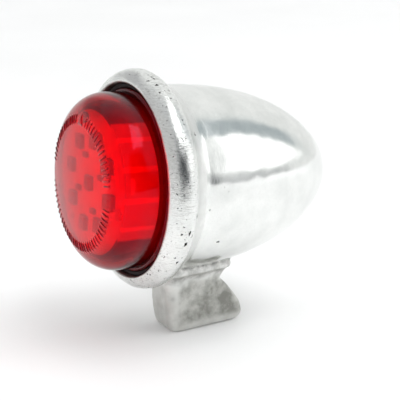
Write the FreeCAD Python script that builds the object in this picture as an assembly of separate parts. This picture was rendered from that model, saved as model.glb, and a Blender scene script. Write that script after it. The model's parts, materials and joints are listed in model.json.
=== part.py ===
# A bullet tail light: a cast aluminium shell on a foot, with a round LED unit in its mouth.
# Millimetres. The row frame has +Z up, the lens towards -Y and its origin at the mouth of the
# fixing hole, on the flat under the foot. Pieces of the lamp are drawn about the lamp's own axis,
# with station 0 at the rim of the mouth and stations growing towards the tail, and in_row() then
# tips them onto the foot.
import FreeCAD, Part
import math
import os

from FreeCAD import Placement, Rotation, Vector

# How the lamp sits on its foot
AXIS_HEIGHT = 40.1        # lamp axis above the fixing hole's mouth
MOUTH_AHEAD = 22.3        # rim of the mouth ahead of the fixing hole, along the axis
PITCH = 4.0               # degrees that the lens looks up when the foot stands level

# Shell
MOUTH_RADIUS = 24.0
SEAT_DEPTH = 5.0          # counterbore that takes the rubber ring
RIM_EDGE = 0.6            # rounding between the mouth and the lip
LIP_RADIUS = 27.5
LIP_ROUND = 4.26
LIP_STATION = 4.0
NECK_RADIUS = 23.5
NECK_FILLET = 5.5
TAIL_STATION = 58.9
OGIVE_ALONG = 2.25        # the tail's outline is a superellipse with these two exponents
OGIVE_ACROSS = 1.8
WALL = 2.75

# Foot
FOOT_HALF_WIDTH = 5.7
FOOT_WAIST = 5.3          # half width where the flare into the shell begins
FOOT_FRONT = -11.8
FOOT_BACK = 10.2
FOOT_TOP = 22.0           # the foot's block runs on up into the shell
KNEE = (7.5, 7.2)         # the back's outline leans in to the knee, then to the waist (Y, Z)
BACK_WAIST = (3.6, 12.0)
BACK_ROOT = (5.6, 17.0)
FRONT_KNEE = (-12.7, 7.5)
KNEE_ROUND = 3.5
FLARE_START = 12.4
FLARE_RADIUS = 4.2
FLARE_SWEEP = 65.0        # degrees
CORNER_ROUND = 1.4
SOLE_ROUND = 0.6
FIXING_RADIUS = 2.5       # tapping size of the M6 fixing hole
FIXING_DEPTH = 12.0
DRILL_POINT = 118.0       # degrees
FIXING_CHAMFER = 0.5
WIRE_HOLE_AT = -7.4       # its place along Y
WIRE_HOLE_RADIUS = 2.3
WIRE_SEAT_RADIUS = 3.2
WIRE_SEAT_DEPTH = 2.2
WIRE_GROMMET_RECESS = 0.4
WIRE_GROMMET_LENGTH = 7.0
WIRE_GROMMET_TAPER = 0.8
WIRE_GROMMET_TIP = 0.4    # wall of the bush at its inner end
WIRE_BORE = 1.5

# Rubber ring in the mouth
RING_RADIUS = 23.92       # 0.08 mm inside the counterbore, for a push fit
RING_FRONT = 1.5
RING_BACK = 4.95
RING_WEB = 0.85
RUNNING_GAP = 0.08        # between the rubber and the LED unit, which turns in it
BEVEL = 0.3               # on the front edges of the rubber ring and of the lens rim

# Lens
LENS_RADIUS = 21.9
LENS_WALL = 2.0
LENS_POLE = -12.6
LENS_SHOULDER = 7.8
LENS_SHOULDER_AT = -3.7
FLANGE_RADIUS = 22.6
FLANGE_FRONT = 1.0
FLANGE_BACK = 2.6

# Rear cup
CUP_FLANGE_RADIUS = 22.4
CUP_FLANGE_BACK = 4.0
CUP_SPIGOT_FRONT = 0.6
CUP_RADIUS = 20.2
CUP_BORE = 18.1
CUP_ROUND = 1.0           # bevel round the cup's back
CUP_LEDGE = 6.0
CUP_WELL = 16.8
CUP_FLOOR = 11.4
CUP_BACK = 13.0
SEAL_INNER = 20.8
SEAL_OUTER = 21.8
SEAL_DEPTH = 0.8
SHROUD_END = 22.0
SHROUD_WIDTH = 15.0
SHROUD_HEIGHT = 8.4
SHROUD_WALL = 1.2
SHROUD_ROUND = 2.0
SHROUD_ROOT = 0.5         # how far the shroud and pin block run into the cup's back
LATCH = (3.0, 1.2, 2.0)   # ridge that the plug's latch catches: width, height, length
LATCH_BACK = 4.5          # from the end of the shroud to the ridge's front
LATCH_ROOT = 0.1          # how far the ridge runs into the shroud
PIN_BLOCK = (12.6, 3.6, 2.0)

# Drum and LED board
DRUM_RADIUS = 18.1
DRUM_WALL = 1.4
BOARD_RADIUS = 17.3
BOARD_FRONT = -7.4
BOARD_THICKNESS = 1.2
DECK_THICKNESS = 1.2
DECK_OPENING = 14.0
STAKE_COUNT = 3
STAKE_FIRST = 105.0       # degrees round the axis, clear of the LEDs
STAKE_AT = 15.6
STAKE_RADIUS = 0.8
STAKE_HEAD_RADIUS = 1.3
STAKE_HEAD = 0.6

# LEDs, all set upright: width, height and thickness of a package, radius and depth of its window
BRAKE_LED = (2.8, 3.5, 1.1)
BRAKE_WINDOW = (1.15, 0.5)
BRAKE_RING_RADIUS = 10.8
BRAKE_COUNT = 8
BRAKE_FIRST = 32.5
TAIL_LED = (2.0, 1.25, 0.8)
TAIL_WINDOW = (0.45, 0.35)
TAIL_RING_RADIUS = 6.9
TAIL_COUNT = 4
TAIL_FIRST = 22.0

# Parts on the back of the board: length, width, height
RESISTOR = (1.6, 3.2, 0.6)
RESISTOR_COUNT = 6
RESISTOR_PITCH = 2.6
RESISTOR_ROW = 9.8
BRIDGE = (4.0, 4.7, 2.4)
BRIDGE_AT = (-9.2, 1.0)
DRIVER = (5.0, 4.0, 1.6)
DRIVER_AT = (0.0, 3.6)
DIODE = (2.6, 4.4, 2.2)
DIODE_AT = (9.4, 1.6)
LEG = (0.5, 0.8, 0.5)
DRIVER_LEGS = 4           # on each side
BRIDGE_LEGS = 2
DRIVER_LEG_PITCH = 1.27
BRIDGE_LEG_PITCH = 2.5
CAPACITOR_AT = (-7.6, -6.4)
CAPACITOR_RADIUS = 2.5
CAPACITOR_HEIGHT = 5.4
CAPACITOR_BASE = 1.0
CRIMP_DEPTH = 0.3         # of the groove round the can
CRIMP_LENGTHS = (0.4, 0.4, 0.3, 0.3)   # taper, straight, into the groove, out of the groove

# Leads, pins and potting
PIN_PITCH = 4.0
PIN_RADIUS = 0.8
PIN_FRONT = 8.4
PIN_TIP = 20.0
PIN_POINT = 0.8
PIN_CUP_DEPTH = 1.2
POTTING_FRONT = 10.0
LEAD_RADIUS = 0.5
LEAD_PAD_PITCH = 3.0
LEAD_PAD_DROP = 5.0       # the pads lie this far below the axis, the pins lie on it
LEAD_BEND_SHARE = 0.45    # of a straight, taken up by the bend
LEAD_STRAIGHT = 3.2
SOLDER_RADIUS = 1.0
SOLDER_WAIST = 0.75
SOLDER_TIP = 0.6
SOLDER_HEIGHT = 0.8

BOARD_BACK = BOARD_FRONT + BOARD_THICKNESS
AXIS = Vector(0, 1, 0)
CENTRE = Vector(0, 0, 0)


def in_row(shape):
    """Moves a piece from the lamp's own frame onto the foot."""
    to_hole = Placement(Vector(0, -MOUTH_AHEAD, 0), Rotation())
    tip = Placement(Vector(0, 0, AXIS_HEIGHT), Rotation(Vector(1, 0, 0), -PITCH))
    moved = shape.copy()
    moved.Placement = tip.multiply(to_hole).multiply(moved.Placement)
    return moved


def at(radius, station):
    """A point of a half section: its distance from the axis and its station."""
    return Vector(radius, station, 0)


def arc_about(centre, radius, start, end):
    """An arc of a half section, between two angles in degrees from the radial direction."""
    points = []
    for angle in (start, (start + end) / 2, end):
        turn = math.radians(angle)
        points.append(centre + at(radius * math.cos(turn), radius * math.sin(turn)))
    return Part.Arc(*points).toShape()


def line(start, end):
    """A straight edge of a half section, between two (radius, station) corners."""
    return Part.LineSegment(at(*start), at(*end)).toShape()


def joined(edges):
    """Closes a chain of edges, in order, with a line wherever two of them don't meet."""
    chain = []
    for edge, following in zip(edges, edges[1:] + edges[:1]):
        end = edge.valueAt(edge.LastParameter)
        begin = following.valueAt(following.FirstParameter)
        chain.append(edge)
        if end.distanceToPoint(begin) > 1e-6:
            chain.append(Part.LineSegment(end, begin).toShape())
    return Part.Face(Part.Wire(chain))


def turned(edges):
    """A solid of revolution from a closed half section."""
    return joined(edges).revolve(CENTRE, AXIS, 360)


def lathe(*corners):
    """A solid of revolution from the corners (radius, station) of its half section."""
    points = [at(*corner) for corner in corners]
    outline = Part.makePolygon(points + points[:1])
    return Part.Face(outline).revolve(CENTRE, AXIS, 360)


def ring(inner, outer, front, back):
    return lathe((inner, front), (outer, front), (outer, back), (inner, back))


def rod(radius, front, back, x=0.0, z=0.0):
    """A cylinder along the lamp axis, between two stations."""
    return Part.makeCylinder(radius, back - front, Vector(x, front, z), AXIS)


def block(size, x, z, front):
    """A box (length, width, height) that stands on the plane of a station, towards the tail."""
    length, width, height = size
    corner = Vector(x - length / 2, front, z - width / 2)
    return Part.makeBox(length, height, width, corner)


def fused(shapes):
    return shapes[0].multiFuse(shapes[1:]).removeSplitter()


def grouped(shapes):
    """Identical pieces that share one node."""
    return Part.makeCompound(shapes)


def on_circle(radius, count, first=0.0):
    """Places (x, z) evenly round the lamp axis."""
    places = []
    for index in range(count):
        turn = math.radians(first) + 2 * math.pi * index / count
        places.append((radius * math.cos(turn), radius * math.sin(turn)))
    return places


# ---- shell and foot ----

def ogive(start, radius, tail):
    """The tail's outline from a station to its tip, as one smooth curve."""
    steps = 14
    points = []
    for step in range(steps + 1):
        share = math.sin(math.pi / 2 * step / steps)
        across = radius * max(0.0, 1 - share ** OGIVE_ALONG) ** (1 / OGIVE_ACROSS)
        points.append(at(across, start + share * (tail - start)))
    curve = Part.BSplineCurve()
    curve.interpolate(Points=points, InitialTangent=Vector(0, 1, 0), FinalTangent=Vector(-1, 0, 0))
    return curve.toShape()


def shell_outside():
    """The shell's skin as a filled solid, from the rim of the mouth to the tip of the tail."""
    lip_centre = at(LIP_RADIUS - LIP_ROUND, LIP_STATION)
    meet = math.degrees(math.acos(
        (NECK_RADIUS + NECK_FILLET - lip_centre.x) / (LIP_ROUND + NECK_FILLET)))
    reach = (LIP_ROUND + NECK_FILLET) * math.sin(math.radians(meet))
    neck_centre = at(NECK_RADIUS + NECK_FILLET, LIP_STATION + reach)
    rim_centre = at(MOUTH_RADIUS + RIM_EDGE, RIM_EDGE)
    front = math.degrees(math.asin(LIP_STATION / LIP_ROUND))
    return turned([
        line((0, RIM_EDGE), (MOUTH_RADIUS, RIM_EDGE)),
        arc_about(rim_centre, RIM_EDGE, 180, 270),
        arc_about(lip_centre, LIP_ROUND, -front, meet),
        arc_about(neck_centre, NECK_FILLET, 180 + meet, 180),
        ogive(neck_centre.y, NECK_RADIUS, TAIL_STATION),
    ])


def shell_inside():
    """The hollow: counterbore, neck and the space in the tail."""
    bore = NECK_RADIUS - WALL
    neck_end = LIP_STATION + LIP_ROUND + NECK_FILLET / 2
    return turned([
        line((0, -LIP_ROUND), (MOUTH_RADIUS, -LIP_ROUND)),
        line((MOUTH_RADIUS, SEAT_DEPTH), (bore, SEAT_DEPTH)),
        ogive(neck_end, bore, TAIL_STATION - WALL),
    ])


def slab(outline, half_width):
    """A side outline (Y, Z), extruded across the foot."""
    points = [Vector(-half_width, y, z) for y, z in outline]
    return Part.Face(Part.makePolygon(points + points[:1])).extrude(Vector(2 * half_width, 0, 0))


def edges_at(shape, places):
    """The edges of a slab that run across it through the given places (Y, Z)."""
    spots = [Vector(0, *place) for place in places]
    return [edge for edge in shape.Edges
            if any(edge.CenterOfMass.distanceToPoint(spot) < 1e-6 for spot in spots)]


def leg():
    """The foot below its flare, with a rounded knee, corners and sole."""
    outline = [(FOOT_FRONT, 0), (FOOT_BACK, 0), KNEE, BACK_WAIST, (BACK_WAIST[0], FOOT_TOP),
               (FRONT_KNEE[0], FOOT_TOP), FRONT_KNEE]
    block = slab(outline, FOOT_HALF_WIDTH)
    block = block.makeFillet(KNEE_ROUND, edges_at(block, [KNEE, FRONT_KNEE]))
    corners = [edge for edge in block.Edges
               if edge.BoundBox.XLength < 1e-6 and edge.BoundBox.ZLength > 0.5
               and edge.CenterOfMass.z < FLARE_START]
    block = block.makeFillet(CORNER_ROUND, corners)
    sole = [edge for edge in block.Edges if edge.BoundBox.ZMax < 1e-6]
    return block.makeFillet(SOLE_ROUND, sole)


def flare():
    """The foot's root, which widens on both sides and behind until it meets the shell."""
    bottom = [Vector(-FOOT_WAIST, 0, FLARE_START), Vector(FOOT_WAIST, 0, FLARE_START)]
    sides = []
    for side, start in zip((-1, 1), bottom):
        points = []
        for share in (0, 0.5, 1):
            turn = math.radians(FLARE_SWEEP * share)
            out = side * FLARE_RADIUS * (1 - math.cos(turn))
            points.append(start + Vector(out, 0, FLARE_RADIUS * math.sin(turn)))
        sides.append(points)
    left, right = sides
    left_top = Vector(left[2].x, 0, FOOT_TOP)
    right_top = Vector(right[2].x, 0, FOOT_TOP)
    loop = Part.Wire([
        Part.LineSegment(left[0], right[0]).toShape(),
        Part.Arc(*right).toShape(),
        Part.LineSegment(right[2], right_top).toShape(),
        Part.LineSegment(right_top, left_top).toShape(),
        Part.LineSegment(left_top, left[2]).toShape(),
        Part.Arc(*reversed(left)).toShape(),
    ])
    root = Part.Face(loop).extrude(Vector(0, BACK_ROOT[0] - FRONT_KNEE[0], 0))
    root.translate(Vector(0, FRONT_KNEE[0], 0))
    lean = slab([(FRONT_KNEE[0], FLARE_START), (BACK_WAIST[0], FLARE_START), BACK_ROOT,
                 (BACK_ROOT[0], FOOT_TOP), (FRONT_KNEE[0], FOOT_TOP)], 2 * FOOT_HALF_WIDTH)
    return root.common(lean)


def foot_block():
    return leg().fuse(flare())


def fixing_hole():
    """The blind tapped hole under the foot, with a drill point and a chamfered mouth."""
    point = FIXING_RADIUS / math.tan(math.radians(DRILL_POINT / 2))
    mouth = FIXING_RADIUS + FIXING_CHAMFER
    corners = [(0, -1), (mouth, -1), (mouth, 0), (FIXING_RADIUS, FIXING_CHAMFER),
               (FIXING_RADIUS, FIXING_DEPTH), (0, FIXING_DEPTH + point)]
    points = [Vector(x, 0, z) for x, z in corners]
    section = Part.Face(Part.makePolygon(points + points[:1]))
    return section.revolve(CENTRE, Vector(0, 0, 1), 360)


def wire_hole():
    up = Vector(0, 0, 1)
    bore = Part.makeCylinder(WIRE_HOLE_RADIUS, FOOT_TOP, Vector(0, WIRE_HOLE_AT, -1), up)
    seat = Part.makeCylinder(
        WIRE_SEAT_RADIUS, WIRE_SEAT_DEPTH + 1, Vector(0, WIRE_HOLE_AT, -1), up)
    return bore.fuse(seat)


def housing():
    """The one-piece casting: shell, lip and foot."""
    skin = in_row(shell_outside())
    cast = skin.fuse(foot_block()).removeSplitter()
    return cast.cut(in_row(shell_inside())).cut(fixing_hole()).cut(wire_hole())


def wire_grommet():
    """The rubber bush that guards the leads where they leave the foot."""
    top = WIRE_GROMMET_RECESS + WIRE_GROMMET_LENGTH
    corners = [
        (WIRE_BORE, WIRE_GROMMET_RECESS), (WIRE_SEAT_RADIUS, WIRE_GROMMET_RECESS),
        (WIRE_SEAT_RADIUS, WIRE_SEAT_DEPTH), (WIRE_HOLE_RADIUS, WIRE_SEAT_DEPTH),
        (WIRE_HOLE_RADIUS, top - WIRE_GROMMET_TAPER), (WIRE_BORE + WIRE_GROMMET_TIP, top),
        (WIRE_BORE, top),
    ]
    points = [Vector(x, 0, z) for x, z in corners]
    section = Part.Face(Part.makePolygon(points + points[:1]))
    bush = section.revolve(CENTRE, Vector(0, 0, 1), 360)
    bush.translate(Vector(0, WIRE_HOLE_AT, 0))
    return bush


# ---- lens unit: ring, lens, seal and cup ----

def mouth_grommet():
    """The rubber ring that grips the LED unit in the mouth, with a web behind the unit."""
    inner = FLANGE_RADIUS + RUNNING_GAP
    web = CUP_RADIUS + RUNNING_GAP
    return lathe(
        (inner, RING_FRONT + BEVEL), (inner + BEVEL, RING_FRONT), (RING_RADIUS - BEVEL, RING_FRONT),
        (RING_RADIUS, RING_FRONT + BEVEL), (RING_RADIUS, RING_BACK), (web, RING_BACK),
        (web, RING_BACK - RING_WEB), (inner, RING_BACK - RING_WEB))


def dome(inset):
    """Crown and shoulder of the lens, as arcs from the pole outwards, set inside its face."""
    middle = LENS_RADIUS - LENS_SHOULDER
    depth = LENS_SHOULDER_AT - LENS_POLE
    crown = (LENS_SHOULDER ** 2 - depth ** 2 - middle ** 2) / (2 * (LENS_SHOULDER - depth))
    crown_centre = at(0, LENS_POLE + crown)
    shoulder_centre = at(middle, LENS_SHOULDER_AT)
    lean = math.degrees(math.atan2(shoulder_centre.y - crown_centre.y, middle))
    return [arc_about(crown_centre, crown - inset, -90, lean),
            arc_about(shoulder_centre, LENS_SHOULDER - inset, lean, 0)]


def lens():
    """The moulded dome with its rim, hollow from behind."""
    inner = LENS_RADIUS - LENS_WALL
    behind = FLANGE_BACK + 1
    solid = turned(dome(0) + [
        line((LENS_RADIUS, FLANGE_FRONT), (FLANGE_RADIUS - BEVEL, FLANGE_FRONT)),
        line((FLANGE_RADIUS, FLANGE_FRONT + BEVEL), (FLANGE_RADIUS, FLANGE_BACK)),
        line((FLANGE_RADIUS, FLANGE_BACK), (0, FLANGE_BACK)),
    ])
    hollow = turned(dome(LENS_WALL) + [line((inner, behind), (0, behind))])
    return solid.cut(hollow)


def lens_seal():
    return ring(SEAL_INNER, SEAL_OUTER, FLANGE_BACK, FLANGE_BACK + SEAL_DEPTH)


def shroud_tube(width, height, corner, front, back):
    """A box with rounded corners, along the axis between two stations."""
    box = block((width, height, back - front), 0, 0, front)
    along = [edge for edge in box.Edges if edge.BoundBox.YLength > 0.5]
    return box.makeFillet(corner, along)


def rear_cup():
    """The cup that closes the unit, with the plug's shroud and its latch ridge."""
    spigot = LENS_RADIUS - LENS_WALL
    cup = lathe(
        (0, CUP_FLOOR), (CUP_WELL, CUP_FLOOR), (CUP_WELL, CUP_LEDGE), (CUP_BORE, CUP_LEDGE),
        (CUP_BORE, CUP_SPIGOT_FRONT), (spigot, CUP_SPIGOT_FRONT), (spigot, FLANGE_BACK),
        (CUP_FLANGE_RADIUS, FLANGE_BACK), (CUP_FLANGE_RADIUS, CUP_FLANGE_BACK),
        (CUP_RADIUS, CUP_FLANGE_BACK), (CUP_RADIUS, CUP_BACK - CUP_ROUND),
        (CUP_RADIUS - CUP_ROUND, CUP_BACK), (0, CUP_BACK))
    cup = cup.cut(lens_seal())
    outer = shroud_tube(SHROUD_WIDTH, SHROUD_HEIGHT, SHROUD_ROUND, CUP_BACK - SHROUD_ROOT, SHROUD_END)
    inner = shroud_tube(SHROUD_WIDTH - 2 * SHROUD_WALL, SHROUD_HEIGHT - 2 * SHROUD_WALL,
                        SHROUD_ROUND - SHROUD_WALL, CUP_BACK, SHROUD_END + 1)
    latch = block(LATCH, 0, (SHROUD_HEIGHT + LATCH[1]) / 2 - LATCH_ROOT, SHROUD_END - LATCH_BACK)
    pin_block = block(PIN_BLOCK, 0, 0, CUP_BACK - SHROUD_ROOT)
    cup = fused([cup, outer.cut(inner), latch, pin_block])
    for x in pin_places():
        cup = cup.cut(rod(PIN_RADIUS, CUP_FLOOR - 1, SHROUD_END, x))
    return cup


# ---- drum and LED board ----

def stake_places():
    return on_circle(STAKE_AT, STAKE_COUNT, STAKE_FIRST)


def light_drum():
    """The pale drum: a wall round the board, a deck under it and three staked posts."""
    bore = DRUM_RADIUS - DRUM_WALL
    drum = lathe(
        (BOARD_RADIUS, BOARD_FRONT), (DRUM_RADIUS, BOARD_FRONT), (DRUM_RADIUS, CUP_LEDGE),
        (bore, CUP_LEDGE), (bore, BOARD_BACK + DECK_THICKNESS),
        (DECK_OPENING, BOARD_BACK + DECK_THICKNESS), (DECK_OPENING, BOARD_BACK),
        (BOARD_RADIUS, BOARD_BACK))
    posts = []
    for x, z in stake_places():
        posts.append(rod(STAKE_RADIUS, BOARD_FRONT, BOARD_BACK + DECK_THICKNESS, x, z))
        posts.append(rod(STAKE_HEAD_RADIUS, BOARD_FRONT - STAKE_HEAD, BOARD_FRONT, x, z))
    return fused([drum] + posts)


def led_board():
    board = rod(BOARD_RADIUS, BOARD_FRONT, BOARD_BACK)
    for x, z in stake_places():
        board = board.cut(rod(STAKE_RADIUS, BOARD_FRONT - 1, BOARD_BACK + 1, x, z))
    return board


def led_window(size, window, x, z):
    """The clear filling sunk in the face of one LED."""
    radius, depth = window
    front = BOARD_FRONT - size[2]
    return rod(radius, front, front + depth, x, z)


def led_body(size, window, x, z):
    """One LED package, hollowed for its filling."""
    return block(size, x, z, BOARD_FRONT - size[2]).cut(led_window(size, window, x, z))


def brake_places():
    return on_circle(BRAKE_RING_RADIUS, BRAKE_COUNT, BRAKE_FIRST)


def tail_places():
    return on_circle(TAIL_RING_RADIUS, TAIL_COUNT, TAIL_FIRST)


# ---- parts on the back of the board ----

def resistors():
    first = -RESISTOR_PITCH * (RESISTOR_COUNT - 1) / 2
    places = [first + RESISTOR_PITCH * index for index in range(RESISTOR_COUNT)]
    return grouped([block(RESISTOR, x, RESISTOR_ROW, BOARD_BACK) for x in places])


def chip_legs():
    """The legs of the driver and the bridge, standing on the board beside their bodies."""
    legs = []
    for size, place, pitch, count in ((DRIVER, DRIVER_AT, DRIVER_LEG_PITCH, DRIVER_LEGS),
                                      (BRIDGE, BRIDGE_AT, BRIDGE_LEG_PITCH, BRIDGE_LEGS)):
        offset = size[1] / 2 + LEG[1] / 2
        for index in range(count):
            x = place[0] + pitch * (index - (count - 1) / 2)
            for side in (-1, 1):
                legs.append(block(LEG, x, place[1] + side * offset, BOARD_BACK))
    return grouped(legs)


def capacitor():
    """An upright can with a crimp groove above its square base."""
    x, z = CAPACITOR_AT
    base = block((2 * CAPACITOR_RADIUS, 2 * CAPACITOR_RADIUS, CAPACITOR_BASE), 0, 0, BOARD_BACK)
    foot = BOARD_BACK + CAPACITOR_BASE
    top = BOARD_BACK + CAPACITOR_HEIGHT
    waist = CAPACITOR_RADIUS - CRIMP_DEPTH
    corners = [(0, foot), (waist, foot)]
    station = foot
    for radius, length in zip((CAPACITOR_RADIUS, CAPACITOR_RADIUS, waist, CAPACITOR_RADIUS),
                              CRIMP_LENGTHS):
        station += length
        corners.append((radius, station))
    can = lathe(*corners, (CAPACITOR_RADIUS, top - CRIMP_DEPTH), (waist, top), (0, top))
    both = fused([base, can])
    both.translate(Vector(x, 0, z))
    return both


# ---- leads, pins and potting ----

def pin_places():
    return [-PIN_PITCH, 0.0, PIN_PITCH]


def pin(x):
    """A round pin with a pointed tip, and a cup at its other end that takes a lead."""
    blank = lathe(
        (0, PIN_FRONT), (PIN_RADIUS, PIN_FRONT), (PIN_RADIUS, PIN_TIP - PIN_POINT),
        (PIN_RADIUS / 2, PIN_TIP), (0, PIN_TIP))
    hollow = rod(LEAD_RADIUS, PIN_FRONT - 1, PIN_FRONT + PIN_CUP_DEPTH)
    made = blank.cut(hollow)
    made.translate(Vector(x, 0, 0))
    return made


def potting():
    """The resin that fills the bottom of the cup round the pins."""
    fill = rod(CUP_WELL, POTTING_FRONT, CUP_FLOOR)
    for x in pin_places():
        fill = fill.cut(rod(PIN_RADIUS, POTTING_FRONT - 1, CUP_FLOOR + 1, x))
    return fill


def lead(pad_x, pin_x):
    """A lead from its pad on the board to a pin's cup: straight, a slant, straight."""
    start = Vector(pad_x, BOARD_BACK, -LEAD_PAD_DROP)
    leave = start + Vector(0, LEAD_STRAIGHT, 0)
    end = Vector(pin_x, PIN_FRONT + PIN_CUP_DEPTH, 0)
    arrive = end - Vector(0, LEAD_STRAIGHT, 0)
    run = arrive - leave
    turn = run.getAngle(AXIS)
    cut_back = LEAD_BEND_SHARE * min(LEAD_STRAIGHT, run.Length)
    edges = []
    previous = start
    for corner, before, after in ((leave, AXIS, run), (arrive, run, AXIS)):
        before = Vector(before).normalize()
        after = Vector(after).normalize()
        first = corner - before * cut_back
        last = corner + after * cut_back
        inward = (after - before).normalize()
        radius = cut_back / math.tan(turn / 2)
        reach = radius / math.cos(turn / 2) - radius
        edges.append(Part.LineSegment(previous, first).toShape())
        edges.append(Part.Arc(first, corner + inward * reach, last).toShape())
        previous = last
    edges.append(Part.LineSegment(previous, end).toShape())
    path = Part.Wire(edges)
    section = Part.Wire(Part.makeCircle(LEAD_RADIUS, start, AXIS))
    print(f"lead: bend radius {radius:.2f} mm, length {path.Length:.2f} mm")
    return path.makePipeShell([section], True, False)


def pad_places():
    return [-LEAD_PAD_PITCH, 0.0, LEAD_PAD_PITCH]


def lead_solder():
    """The solder cones round the leads on their pads."""
    cones = []
    for x in pad_places():
        cone = lathe(
            (LEAD_RADIUS, BOARD_BACK), (SOLDER_RADIUS, BOARD_BACK),
            (SOLDER_WAIST, BOARD_BACK + SOLDER_HEIGHT / 2),
            (SOLDER_TIP, BOARD_BACK + SOLDER_HEIGHT),
            (LEAD_RADIUS, BOARD_BACK + SOLDER_HEIGHT))
        cone.translate(Vector(x, 0, -LEAD_PAD_DROP))
        cones.append(cone)
    return grouped(cones)


def lamp_pieces():
    """Every piece drawn about the lamp's axis, by name."""
    pieces = {
        "mouth_grommet": mouth_grommet(),
        "lens": lens(),
        "lens_seal": lens_seal(),
        "rear_cup": rear_cup(),
        "light_drum": light_drum(),
        "led_board": led_board(),
        "brake_leds": grouped([led_body(BRAKE_LED, BRAKE_WINDOW, x, z) for x, z in brake_places()]),
        "brake_led_windows": grouped([led_window(BRAKE_LED, BRAKE_WINDOW, x, z)
                                      for x, z in brake_places()]),
        "tail_leds": grouped([led_body(TAIL_LED, TAIL_WINDOW, x, z) for x, z in tail_places()]),
        "tail_led_windows": grouped([led_window(TAIL_LED, TAIL_WINDOW, x, z)
                                     for x, z in tail_places()]),
        "centre_led": led_body(BRAKE_LED, BRAKE_WINDOW, 0, 0),
        "centre_led_window": led_window(BRAKE_LED, BRAKE_WINDOW, 0, 0),
        "resistors": resistors(),
        "bridge_rectifier": block(BRIDGE, *BRIDGE_AT, BOARD_BACK),
        "led_driver": block(DRIVER, *DRIVER_AT, BOARD_BACK),
        "surge_diode": block(DIODE, *DIODE_AT, BOARD_BACK),
        "chip_legs": chip_legs(),
        "capacitor": capacitor(),
        "lead_solder": lead_solder(),
        "potting": potting(),
    }
    for job, pad_x, pin_x in zip(("tail", "ground", "brake"), pad_places(), pin_places()):
        pieces[f"lead_{job}"] = lead(pad_x, pin_x)
        pieces[f"pin_{job}"] = pin(pin_x)
    return pieces


def export(name, shape):
    """Writes one node, and stops if any of its solids is faulty."""
    solids = shape.Solids
    if not solids or not all(solid.isValid() and solid.Volume > 0 for solid in solids):
        raise RuntimeError(f"{name} is not made of sound solids")
    shape.exportStep(f"parts/{name}.step")
    print(f"{name}: {len(solids)} solid(s), {sum(s.Volume for s in solids):.2f} mm3")


os.makedirs("parts", exist_ok=True)
export("housing", housing())
export("wire_grommet", wire_grommet())
for name, shape in lamp_pieces().items():
    export(name, in_row(shape))
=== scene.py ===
import json
import math

import bmesh
import bpy
import numpy as np
from mathutils import Matrix, Vector


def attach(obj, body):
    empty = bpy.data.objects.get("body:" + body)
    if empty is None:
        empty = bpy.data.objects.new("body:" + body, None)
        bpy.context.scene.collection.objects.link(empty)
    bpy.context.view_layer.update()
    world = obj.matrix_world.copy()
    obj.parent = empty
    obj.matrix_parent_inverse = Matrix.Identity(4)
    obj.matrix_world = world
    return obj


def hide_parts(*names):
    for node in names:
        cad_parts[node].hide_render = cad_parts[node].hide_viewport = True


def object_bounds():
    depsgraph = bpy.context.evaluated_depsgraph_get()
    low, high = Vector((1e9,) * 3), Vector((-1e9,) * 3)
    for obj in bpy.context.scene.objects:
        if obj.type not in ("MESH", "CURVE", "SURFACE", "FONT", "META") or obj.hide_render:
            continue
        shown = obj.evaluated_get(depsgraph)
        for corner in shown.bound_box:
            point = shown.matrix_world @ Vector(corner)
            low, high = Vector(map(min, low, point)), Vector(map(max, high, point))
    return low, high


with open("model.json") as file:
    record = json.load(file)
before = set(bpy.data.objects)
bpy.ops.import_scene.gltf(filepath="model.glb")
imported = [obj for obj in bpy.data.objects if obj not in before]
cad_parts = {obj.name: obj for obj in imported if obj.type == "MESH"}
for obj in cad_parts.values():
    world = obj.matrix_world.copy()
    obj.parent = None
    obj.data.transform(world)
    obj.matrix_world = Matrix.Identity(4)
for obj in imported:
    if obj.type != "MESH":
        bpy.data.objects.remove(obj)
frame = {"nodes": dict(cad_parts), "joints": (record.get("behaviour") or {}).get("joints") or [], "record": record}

CAD_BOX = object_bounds()
MM = 0.001


# ---- the lamp's own frame, from the joint that the LED unit turns on ----

PIVOT_STATION = 2.0
unit_turn = next(joint for joint in frame["joints"] if joint["name"] == "unit_turn")
axis_out = Vector(unit_turn["axis"])
pitch = math.atan2(axis_out.z, -axis_out.y)
LAMP = (Matrix.Translation(unit_turn["pos_m"]) @ Matrix.Rotation(-pitch, 4, "X")
        @ Matrix.Scale(MM, 4) @ Matrix.Translation((0, -PIVOT_STATION, 0)))
ROW = Matrix.Scale(MM, 4)


def node_points(node, space):
    """A CAD node's vertices in millimetres, in the lamp's frame or the row's."""
    mesh = frame["nodes"][node].data
    flat = np.empty(3 * len(mesh.vertices), np.float32)
    mesh.vertices.foreach_get("co", flat)
    return moved(flat.reshape(-1, 3).astype(float), space.inverted())


def moved(points, matrix):
    """Points after a transform."""
    turn = np.array(matrix.to_3x3())
    return points @ turn.T + np.array(matrix.translation)


def reach(node):
    """A node's largest radius about the lamp's axis, and its first and last station."""
    points = node_points(node, LAMP)
    radii = np.hypot(points[:, 0], points[:, 2])
    return radii.max(), points[:, 1].min(), points[:, 1].max()


# Sizes of the lens unit and the shell, from the frame
LENS_RIM_RADIUS, LENS_POLE, LENS_BACK = reach("lens")
RING_RADIUS, _, RING_BACK = reach("mouth_grommet")
_, _, TAIL_STATION = reach("housing")
RING_PLAY = 0.08          # round the rubber ring in its seat
SEAT_PLAY = 0.05          # behind it
MOUTH_RADIUS = RING_RADIUS + RING_PLAY
SEAT_DEPTH = RING_BACK + SEAT_PLAY
LIP_RADIUS = np.ptp(node_points("housing", ROW)[:, 0]) / 2

# Outline of the shell
RIM_EDGE = 0.6
LIP_ROUND = 4.26
LIP_STATION = 4.0
NECK_RADIUS = 23.5
NECK_FILLET = 5.5
WALL = 2.75
OGIVE_ALONG = 2.25
OGIVE_ACROSS = 1.8

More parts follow.
